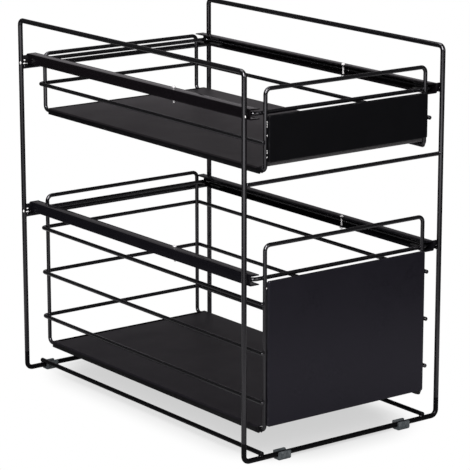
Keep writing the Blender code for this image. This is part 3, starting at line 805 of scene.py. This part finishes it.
railShape = {
    "webX": 122, "height": 11, "flange": 12, "sheet": 1.2, "bend": 1.5, "halfLength": 204.5, "endZone": 4,
    "earY": 201.5, "earRoot": 121.4, "earReach": 128.6, "earInset": 0.9, "softEdge": (0.28, 2, 32),
}


def makeRail(tier, side):
    r, z = railShape, tiers[tier]["railZ"]
    tip, web, high = r["webX"] - r["flange"], r["webX"], z + r["height"]
    bm = bmesh.new()
    outlines = bentStrip([(tip, z), (web, z), (web, high), (tip, high)], r["sheet"], r["bend"])
    sweepStrip(bm, outlines, -r["halfLength"], r["halfLength"], r["endZone"],
               lambda point, y: place(side * point.x, y, point.y))
    left, right = sorted((side * r["earRoot"], side * r["earReach"]))
    for y in (-r["earY"], r["earY"] - r["sheet"]):
        addSlab(bm, place(left, y, z + r["earInset"]), place(right, y + r["sheet"], high - r["earInset"]))
    # the tier's rail coat is lightened as painted sheen
    rail = fromBmesh(bm, tier + hands[side].title() + "Rail", tier + "RailCoat", r["softEdge"])
    settle(rail, "frame", coatSlot, f"{tier}_{hands[side]}_rail")


for tier in tiers:
    for side in hands:
        makeRail(tier, side)
print("rails made")


# Stop screws and nuts

screwShape = {
    "x": 112.3, "y": -63.0, "headRadius": 2.0, "headHeight": 2.05, "headSteps": 28,
    "underCut": 0.2, "gap": 0.02, "crownAngles": (0, 14, 28, 42, 56, 68), "crownStart": 0.45,
    "crownFlat": 0.18, "crossReach": 1.0625, "crossHalfWidth": 0.3, "crossDepth": 0.9, "crossRise": 0.6,
    "threadRadius": 1.0, "threadDepth": 0.16, "threadSteps": 20, "pitch": 0.4, "tipTaper": 0.75,
    "belowFlange": 4.85, "intoHead": 0.1, "firstTurn": 17, "turnBetween": 31,
}
nutShape = {"halfFlats": 2.0, "height": 1.75, "bore": 1.05, "steps": 36, "chamfer": 0.55, "cornerDrop": 0.06,
            "faceInset": 0.05, "boreCone": 0.3, "gap": 0.02}


def roundPoint(radius, angle, z):
    return (radius * mm * math.cos(angle), radius * mm * math.sin(angle), z * mm)


def circleRow(bm, radius, z, steps):
    return [bm.verts.new(roundPoint(radius, 2 * math.pi * step / steps, z)) for step in range(steps)]


def turnedSolid(bm, rows):
    joinRows(bm, rows)
    bm.faces.new(rows[0][::-1])
    bm.faces.new(rows[-1])


def addThread(bm, low, high):
    s = screwShape
    steps, pitch = s["threadSteps"], s["pitch"]
    levels = int((high - low) / (pitch / 4))
    rows = []
    for level in range(levels + 1):
        z = low + (high - low) * level / levels
        row = []
        for step in range(steps):
            phase = (z / pitch - step / steps) % 1.0
            groove = abs(phase - 0.5) * 2
            radius = (s["threadRadius"] - s["threadDepth"] * groove) * (s["tipTaper"] if level == 0 else 1.0)
            row.append(bm.verts.new(roundPoint(radius, 2 * math.pi * step / steps, z)))
        rows.append(row)
    turnedSolid(bm, rows)


def screwItem():
    # the rail's upper face is at zero; the head stands over it and the thread runs down through both flanges
    s = screwShape
    steps, head, height = s["headSteps"], s["headRadius"], s["headHeight"]
    profile = [(head - s["underCut"], s["gap"]), (head, s["underCut"])]
    for degrees in s["crownAngles"]:
        angle, start = math.radians(degrees), s["crownStart"]
        profile.append((head * math.cos(angle), height * start + height * (1 - start) * math.sin(angle)))
    profile.append((head * s["crownFlat"], height))
    bm = bmesh.new()
    turnedSolid(bm, [circleRow(bm, radius, z, steps) for radius, z in profile])
    headPiece = linkObject("screwHead", meshFrom(bm, "screwHead"))
    bm = bmesh.new()
    for wide, deep in ((s["crossReach"], s["crossHalfWidth"]), (s["crossHalfWidth"], s["crossReach"])):
        addSlab(bm, inMetres(-wide, -deep, height - s["crossDepth"]),
                inMetres(wide, deep, height + s["crossRise"]))
    cross = linkObject("driveCross", meshFrom(bm, "driveCross"))
    cut = headPiece.modifiers.new("driveCross", "BOOLEAN")
    cut.operation, cut.object, cut.use_self = "DIFFERENCE", cross, True
    cutHead = evaluatedMesh(headPiece)
    bm = bmesh.new()
    bm.from_mesh(cutHead)
    addThread(bm, -(railShape["height"] + s["belowFlange"]), s["intoHead"])
    bpy.data.meshes.remove(cutHead)
    for piece in (headPiece, cross):
        discard(piece)
    return linkObject("stopScrewItem", meshFrom(bm, "stopScrewItem"))


def nutItem():
    # the rail's lower face is at zero; the nut hangs under it, its corners chamfered at both faces
    n = nutShape
    flat, bore, top, low = n["halfFlats"], n["bore"], -n["gap"], -n["height"]
    face, cone = flat - n["faceInset"], bore + n["boreCone"]
    outline = []
    for step in range(n["steps"]):
        angle = 2 * math.pi * step / n["steps"]
        inSector = (angle + math.pi / 6) % (math.pi / 3) - math.pi / 6
        outline.append((angle, flat / math.cos(inSector)))
    bm = bmesh.new()
    rows = []
    # a row's radius, its height, and which way its corners are chamfered; no radius means the outline's own
    for radius, z, way in ((bore, -n["boreCone"], 0), (cone, top, 0), (face, top, 0), (None, top, -1),
                           (None, low, 1), (face, low, 0), (cone, low, 0), (bore, low + n["boreCone"], 0)):
        row = []
        for angle, own in outline:
            drop = (own - flat) * n["chamfer"] + n["cornerDrop"]
            row.append(bm.verts.new(roundPoint(radius or own, angle, z + way * drop)))
        rows.append(row)
    joinRows(bm, rows + rows[:1])
    return linkObject("stopNutItem", meshFrom(bm, "stopNutItem"))


def makeCopies(name, item, spots, body, slot, finish):
    # spots are given as node: (x, y, z, turn in degrees)
    points = [place(*spot[:3]) for spot in spots.values()]
    turns = [math.radians(spot[3]) for spot in spots.values()]
    mesh = seedMesh(name + "Places", points, {"turn": ("FLOAT", turns)})
    settle(runTree(name, mesh, repeatTree, {"Item": item}, finish), body, slot, *spots)


def makeStops():
    s = screwShape
    screws, nuts = {}, {}
    turn = s["firstTurn"]
    for tier, t in tiers.items():
        for side, hand in hands.items():
            x, y, z = side * s["x"], s["y"], t["railZ"]
            turn += s["turnBetween"]
            screws[f"{tier}_{hand}_stop_screw"] = (x, y, z + railShape["height"], turn)
            nuts[f"{tier}_{hand}_stop_nut"] = (x, y, z, turn * 2)
    for name, item, spots in (("stopScrews", screwItem(), screws), ("stopNuts", nutItem(), nuts)):
        makeCopies(name, item, spots, "frame", "zinc_plated_steel", "zincPlate")
        discard(item)


makeStops()
print("stop screws and nuts made")


# Feet and glides

footShape = {"length": 15, "depth": 12, "sole": 3, "wallRise": 3.5, "corner": 2.5, "groove": 2.75,
             "mouth": 0.5, "neck": (0.9, 0.45), "frontX": 80, "rearX": 98, "softEdge": (0.85, 3, 42)}
glideShape = {"length": 18, "width": 6.6, "height": 8.0, "back": 3.1, "slot": 2.3,
              "railStart": -192.8, "ringEnd": 181.8, "softEdge": (0.4, 3, 42)}


def footItem():
    # outline seen along the bar: the sole, two walls and the groove that grips the bar
    f = footShape
    half, corner, groove, rise = f["depth"] / 2, f["corner"], f["groove"], f["wallRise"]
    low, mouth = -frameWires["wire"] / 2 - f["sole"], groove + f["mouth"]
    neckY, neckZ = groove * f["neck"][0], rise * f["neck"][1]
    outline = [(-half, rise)]
    outline += arc(corner, math.pi, math.pi / 2, 8, (corner - half, low + corner))
    outline += arc(corner, 1.5 * math.pi, math.pi / 2, 8, (half - corner, low + corner))
    outline += [(half, rise), (mouth, rise), (neckY, neckZ)] + arc(groove, 0, -math.pi, 12)
    outline += [(-neckY, neckZ), (-mouth, rise)]
    reach = f["length"] / 2
    bm = bmesh.new()
    addPrism(bm, outline, (-reach, reach), lambda point, x: inMetres(x, *point))
    return fromBmesh(bm, "footItem", "footRubber", f["softEdge"])


def glideItem():
    # outline seen along the rail, with the slot that the ring's wire runs in
    g = glideShape
    back, front, half, slot = g["back"], g["back"] - g["width"], g["height"] / 2, g["slot"]
    outline = [(front, -half), (back, -half), (back, half), (front, half), (front, slot)]
    outline += arc(slot, math.pi / 2, -math.pi, 12) + [(front, -slot)]
    bm = bmesh.new()
    addPrism(bm, outline, (0, g["length"]), lambda point, y: inMetres(point[0], y, point[1]))
    return fromBmesh(bm, "glideItem", "footRubber", g["softEdge"])


def makeFeet():
    spots = {}
    for end, y in (("front", -frameWires["postY"]), ("rear", frameWires["postY"])):
        for side, hand in hands.items():
            spots[f"{end}_{hand}_foot"] = (side * footShape[end + "X"], y, frameWires["bottomZ"], 0)
    item = footItem()
    makeCopies("clipFeet", item, spots, "frame", "grey_rubber", "footRubber")
    discard(item)


def makeGlides():
    g, item = glideShape, glideItem()
    railSpots = {}
    for tier, t in tiers.items():
        ringSpots = {}
        for side, hand in hands.items():
            turn, extra = (0, 0) if side > 0 else (180, g["length"])
            x, z, ringStart = side * drawerWires["ringX"], t["ringZ"], g["ringEnd"] - g["length"]
            railSpots[f"{tier}_{hand}_rail_glide"] = (x, g["railStart"] + extra, z, turn)
            ringSpots[f"{tier}_{hand}_ring_glide"] = (x, ringStart + extra, z, turn)
        makeCopies(tier + "RingGlides", item, ringSpots, tier + "_drawer", "black_nylon", "glideNylon")
    makeCopies("railGlides", item, railSpots, "frame", "black_nylon", "glideNylon")
    discard(item)


makeFeet()
makeGlides()
print("feet and glides made")


# Front panels and floor pans

panelShape = {"halfWidth": 103.5, "face": -211.75, "back": -208.45, "sheet": 1.0, "corner": 2.0, "fold": 0.9,
              "cornerSteps": 9, "foldSteps": 5, "cutEdge": 0.25}
panShape = {"foldOut": 107.65, "tongue": 99.85, "lipY": -208.15, "foldFront": -202.5, "notchY": -198.5,
            "rear": 184.0, "rearStandOut": 0.6, "rearFlat": 6.0, "sheet": 1.2, "sideFold": 6.9,
            "rearFold": 4.5, "lap": 1.0, "lipLap": 2.0, "bend": 1.6, "foldCut": 1.8, "foldZone": 2,
            "plateDrop": 0.1, "endZone": 3, "softEdge": (0.22, 2, 32)}


def panelLoop(inset, low, high):
    p = panelShape
    wide, top, base = p["halfWidth"] - p["corner"], high - p["corner"], low + p["corner"]
    radius, quarter = max(p["corner"] - inset, 0.2), math.pi / 2
    points = []
    for turn, centre in enumerate(((wide, top), (-wide, top), (-wide, base), (wide, base))):
        points += arc(radius, turn * quarter, quarter, p["cornerSteps"], centre)
    return points


def makePanel(tier):
    p, t = panelShape, tiers[tier]
    face, back, sheet, fold = p["face"], p["back"], p["sheet"], p["fold"]
    steps, cut = p["foldSteps"], p["cutEdge"]
    # a ring is its inset, its y and its rim mark, from the middle of the face round the edge to the inside
    rings = [(fold + 3.0, face, 0.0)]
    for step in range(steps + 1):
        angle = step / steps * math.pi / 2
        inset, y = fold * (1 - math.sin(angle)), face + fold * (1 - math.cos(angle))
        rings.append((inset, y, 1.0 if step else 0.35))
    rings += [(0.0, back - cut, 0.7), (cut, back, 1.0), (sheet - cut, back, 1.0), (sheet, back - cut, 0.6),
              (sheet, face + fold, 0.0), (sheet + 0.4, face + sheet, 0.0), (fold + 4.0, face + sheet, 0.0)]
    bm = bmesh.new()
    rim = rimMark(bm)
    rows = []
    for inset, y, mark in rings:
        row = [bm.verts.new(place(x, y, z)) for x, z in panelLoop(inset, t["panelLow"], t["panelHigh"])]
        for vert in row:
            vert[rim] = mark
        rows.append(row)
    joinRows(bm, rows)
    closeEnds(bm, rows)
    # the tier's panel coat paints shade on the upper panel and light on the lower one
    panel = fromBmesh(bm, tier + "FrontPanel", tier + "PanelCoat")
    settle(panel, tier + "_drawer", coatSlot, tier + "_front_panel")


def splitOff(bm, chosen):
    # moves the faces whose centre is chosen into a bmesh of their own
    part = bm.copy()
    for mesh, keep in ((bm, False), (part, True)):
        faces = [face for face in mesh.faces if chosen(face.calc_center_median()) != keep]
        bmesh.ops.delete(mesh, geom=faces, context="FACES")
    return part


def closeCuts(piece):
    bm = bmesh.new()
    bm.from_mesh(piece.data)
    bmesh.ops.holes_fill(bm, edges=[edge for edge in bm.edges if edge.is_boundary], sides=0)
    bm.to_mesh(piece.data)
    bm.free()
    finishMesh(piece.data)
    return piece


def makePan(tier):
    p, t, body = panShape, tiers[tier], tier + "_drawer"
    top, sheet, bend, soft = t["panTop"], p["sheet"], p["bend"], p["softEdge"]
    out, half = p["foldOut"], p["tongue"]
    # across: the floor between its two side folds
    foot = top - p["sideFold"]
    bm = bmesh.new()
    outlines = bentStrip([(out, foot), (out, top), (-out, top), (-out, foot)], sheet, bend)
    sweepStrip(bm, outlines, p["notchY"], p["rear"], p["endZone"],
               lambda point, y: place(point.x, y, point.y))
    # the side folds are a piece of their own, in a darker copy of the coat that paints the shade they stand
    # in, and run further forward than the floor
    zone = out - p["foldZone"]
    folds = splitOff(bm, lambda centre: abs(centre.x) > zone * mm and centre.z < (top - bend) * mm)
    front, cut, back, high = p["foldFront"], p["foldCut"], p["notchY"] + p["lap"], top - p["plateDrop"]
    profile = [(front, high), (front, foot + cut), (front + cut, foot), (back, foot), (back, high)]
    for side in hands:
        addPrism(folds, profile, (side * (out - sheet), side * out), lambda point, x: place(x, *point))
    settle(closeCuts(fromBmesh(folds, tier + "PanFolds", "foldShadeCoat", soft)), body, coatSlot)
    # along: the fold at the back
    rear = p["rear"] + p["rearStandOut"]
    path = [(rear, top - p["rearFold"]), (rear, top), (p["rear"] - p["rearFlat"], top)]
    outlines = bentStrip(path, sheet, bend)
    sweepStrip(bm, outlines, -half, half, p["endZone"], lambda point, x: place(x, point.x, point.y))
    # the pan's coat is lightened as painted sheen
    pan = closeCuts(fromBmesh(bm, tier + "FloorPan", tier + "PanCoat", soft))
    settle(pan, body, coatSlot, tier + "_floor_pan")
    # the tongue with its lip turned up behind the panel; its coat is lightened as a painted highlight band
    # under the panel
    lipTop, under = t["panelLow"] + p["lipLap"], top - sheet
    bm = bmesh.new()
    outlines = bentStrip([(p["lipY"], lipTop), (p["lipY"], under + t["lipRise"]), (back, under)], sheet, bend)
    sweepStrip(bm, outlines, -half, half, p["endZone"], lambda point, x: place(x, point.x, point.y))
    settle(fromBmesh(bm, tier + "PanLip", "lipSheenCoat", soft), body, coatSlot)


for tier in tiers:
    makePanel(tier)
    makePan(tier)
print("panels and pans made")


# Studio: floor, light and camera

studio = {
    "floorRings": (600, 1600, 6000),  # mm; all other lengths here are in metres
    "floorSteps": 96, "floorColour": (0.93, 0.93, 0.935),
    # what mirrored rays see on the floor, a glow that only they see, with painted shade under the object: how
    # far from the middle, and shares of white
    "nearReach": (0.3, 0.95), "nearGlow": 0.45, "underShadeReach": (0.2, 0.55), "underShadeShare": 0.25,
    "fanTurn": -44, "fanHalfAngle": (16, 52), "fanStart": (0.95, 2.2), "fanNearGlow": 0.24,
    "fanReach": (3.0, 4.5), "darkGlow": 0.03,
    # what the camera sees on it: white glow, with a painted shadow under the base
    "shadowHalfWidth": 0.03, "shadowHalfDepth": 0.135, "shadowFade": (0.055, 0.112), "paintedShadowGlow": 0.79,
    "shadowShare": 0.75,
    "worldFill": 0.5, "glossyFill": 0.04,
    "lamps": {
        "overheadSoftbox": {"from": (-0.15, 0.35, 1.9), "to": (0, 0.05, 0.2), "size": (1.5, 1.3),
                            "watts": 10},
        "leftSoftbox": {"from": (-1.6, -1.7, 1.9), "to": (0, 0, 0.3), "size": (0.9, 2.2), "watts": 70},
        "frontFill": {"from": (0.3, -2.35, 1.1), "to": (0, 0, 0.2), "size": (1.0, 1.2), "watts": 6},
        "rearStrip": {"from": (1.3, 1.9, 0.75), "to": (0, 0, 0.2), "size": (1.8, 0.7), "watts": 1.4,
                      "tint": (1.0, 0.94, 0.99)},
    },
    "cameraPlace": (-1.54256, -2.06888, 0.82237), "azimuth": -36.940, "elevation": 13.913, "lens": 186.882,
}


def mirroredGlowPattern(tree, position):
    # a glow that only mirrored rays see: pale round the object, darkened right under it as painted shade, and
    # fanning out towards the camera, dark on either side of it: the upright wires mirror the fan as a
    # highlight line along their middle
    length = addNode(tree, "ShaderNodeVectorMath", {0: position}, operation="LENGTH").outputs["Value"]
    turn = math.radians(studio["fanTurn"])
    towards = addNode(tree, "ShaderNodeVectorMath", {0: position, 1: (math.sin(turn), -math.cos(turn), 0)},
                      operation="DOT_PRODUCT").outputs["Value"]
    inner, outer = [math.cos(math.radians(angle)) for angle in studio["fanHalfAngle"]]
    fan = spread(tree, mathNode(tree, "DIVIDE", towards, length), outer, inner)
    fanStart = spread(tree, length, *studio["fanStart"], studio["fanNearGlow"], 1.0)
    fan = times(tree, fan, fanStart)
    fan = times(tree, fan, spread(tree, length, *studio["fanReach"], 1.0, 0.0))
    near = spread(tree, length, *studio["nearReach"], 1.0, 0.0)
    # darker right under the object: painted shade
    under = spread(tree, length, *studio["underShadeReach"], studio["underShadeShare"], 1.0)
    near = times(tree, near, under)
    reflectedGlow = mathNode(tree, "MAXIMUM", fan, times(tree, near, studio["nearGlow"]))
    return mathNode(tree, "MAXIMUM", reflectedGlow, studio["darkGlow"])


def awayFromBase(tree, position):
    # distance on the floor from a rectangle under the object, where the painted shadow lies
    split = addNode(tree, "ShaderNodeSeparateXYZ", {0: position}).outputs
    squares = []
    for axis, half in (("X", studio["shadowHalfWidth"]), ("Y", studio["shadowHalfDepth"])):
        outside = mathNode(tree, "SUBTRACT", mathNode(tree, "ABSOLUTE", split[axis]), half)
        squares.append(mathNode(tree, "POWER", mathNode(tree, "MAXIMUM", outside, 0.0), 2.0))
    return mathNode(tree, "SQRT", mathNode(tree, "ADD", *squares))


def makeFloor():
    bm = bmesh.new()
    rows = [circleRow(bm, radius, 0, studio["floorSteps"]) for radius in studio["floorRings"]]
    bm.faces.new(rows[0])
    joinRows(bm, rows[::-1])  # from outside in, so that it faces up
    mesh = bpy.data.meshes.new("studioFloor")
    bm.to_mesh(mesh)
    bm.free()
    floor = linkObject("studioFloor", mesh)
    material, tree, shader, position = newMaterial("studioFloorPaint")
    feed(tree, shader, {
        "Base Color": (*studio["floorColour"], 1), "Roughness": 0.9, "Specular IOR Level": 0.05})
    # a camera ray sees white glow, dimmed to a painted shadow under and close round the object's base, where
    # a quarter of the real lit floor with its shadow shows through; a mirrored ray sees only the glow pattern
    away = awayFromBase(tree, position)
    white = spread(tree, away, *studio["shadowFade"], studio["shadowShare"], 1.0)
    shade = spread(tree, away, *studio["shadowFade"], studio["paintedShadowGlow"], 1.0)
    paths = tree.nodes.new("ShaderNodeLightPath").outputs
    white = times(tree, white, paths["Is Camera Ray"])
    share = mathNode(tree, "MAXIMUM", white, paths["Is Glossy Ray"])
    mirrored = times(tree, mirroredGlowPattern(tree, position), paths["Is Glossy Ray"])
    seen = times(tree, shade, paths["Is Camera Ray"])
    strength = mathNode(tree, "MAXIMUM", mirrored, seen)
    glow = addNode(tree, "ShaderNodeEmission", {"Color": (1, 1, 1, 1), "Strength": strength})
    mix = addNode(tree, "ShaderNodeMixShader", {0: share, 1: shader.outputs[0], 2: glow.outputs[0]})
    feed(tree, tree.nodes["Material Output"], {"Surface": mix.outputs[0]})
    mesh.materials.append(material)


def makeWorld():
    world = bpy.data.worlds.new("studioWorld")
    bpy.context.scene.world = world
    world.use_nodes = True
    tree = world.node_tree
    paths = tree.nodes.new("ShaderNodeLightPath").outputs
    darker = studio["glossyFill"] - studio["worldFill"]
    glossy = timesPlus(tree, paths["Is Glossy Ray"], darker, studio["worldFill"])
    strength = mathNode(tree, "MAXIMUM", glossy, paths["Is Camera Ray"])
    feed(tree, tree.nodes["Background"], {"Color": (1, 1, 1, 1), "Strength": strength})


def makeLamps():
    for name, lamp in studio["lamps"].items():
        data = bpy.data.lights.new(name, "AREA")
        data.shape, data.energy = "RECTANGLE", lamp["watts"]
        data.size, data.size_y = lamp["size"]
        data.color = lamp.get("tint", (1, 1, 1))
        rig = linkObject(name, data)
        rig.location = lamp["from"]
        rig.visible_camera = False
        aim = Vector(lamp["to"]) - Vector(lamp["from"])
        rig.rotation_euler = aim.to_track_quat("-Z", "Y").to_euler()


def makeCamera():
    data = bpy.data.cameras.new("productCamera")
    data.lens, data.sensor_width = studio["lens"], 36.0
    data.clip_start, data.clip_end = 0.05, 50
    camera = linkObject("productCamera", data)
    azimuth, elevation = math.radians(studio["azimuth"]), math.radians(studio["elevation"])
    level = math.cos(elevation)
    back = Vector((math.sin(azimuth) * level, -math.cos(azimuth) * level, math.sin(elevation)))
    right = Vector((math.cos(azimuth), math.sin(azimuth), 0))
    turn = Matrix((right, back.cross(right), back)).transposed().to_4x4()
    camera.matrix_world = Matrix.Translation(studio["cameraPlace"]) @ turn
    bpy.context.scene.camera = camera


makeFloor()
makeWorld()
makeLamps()
makeCamera()
bpy.context.scene.view_settings.view_transform = "Standard"
print("studio set")
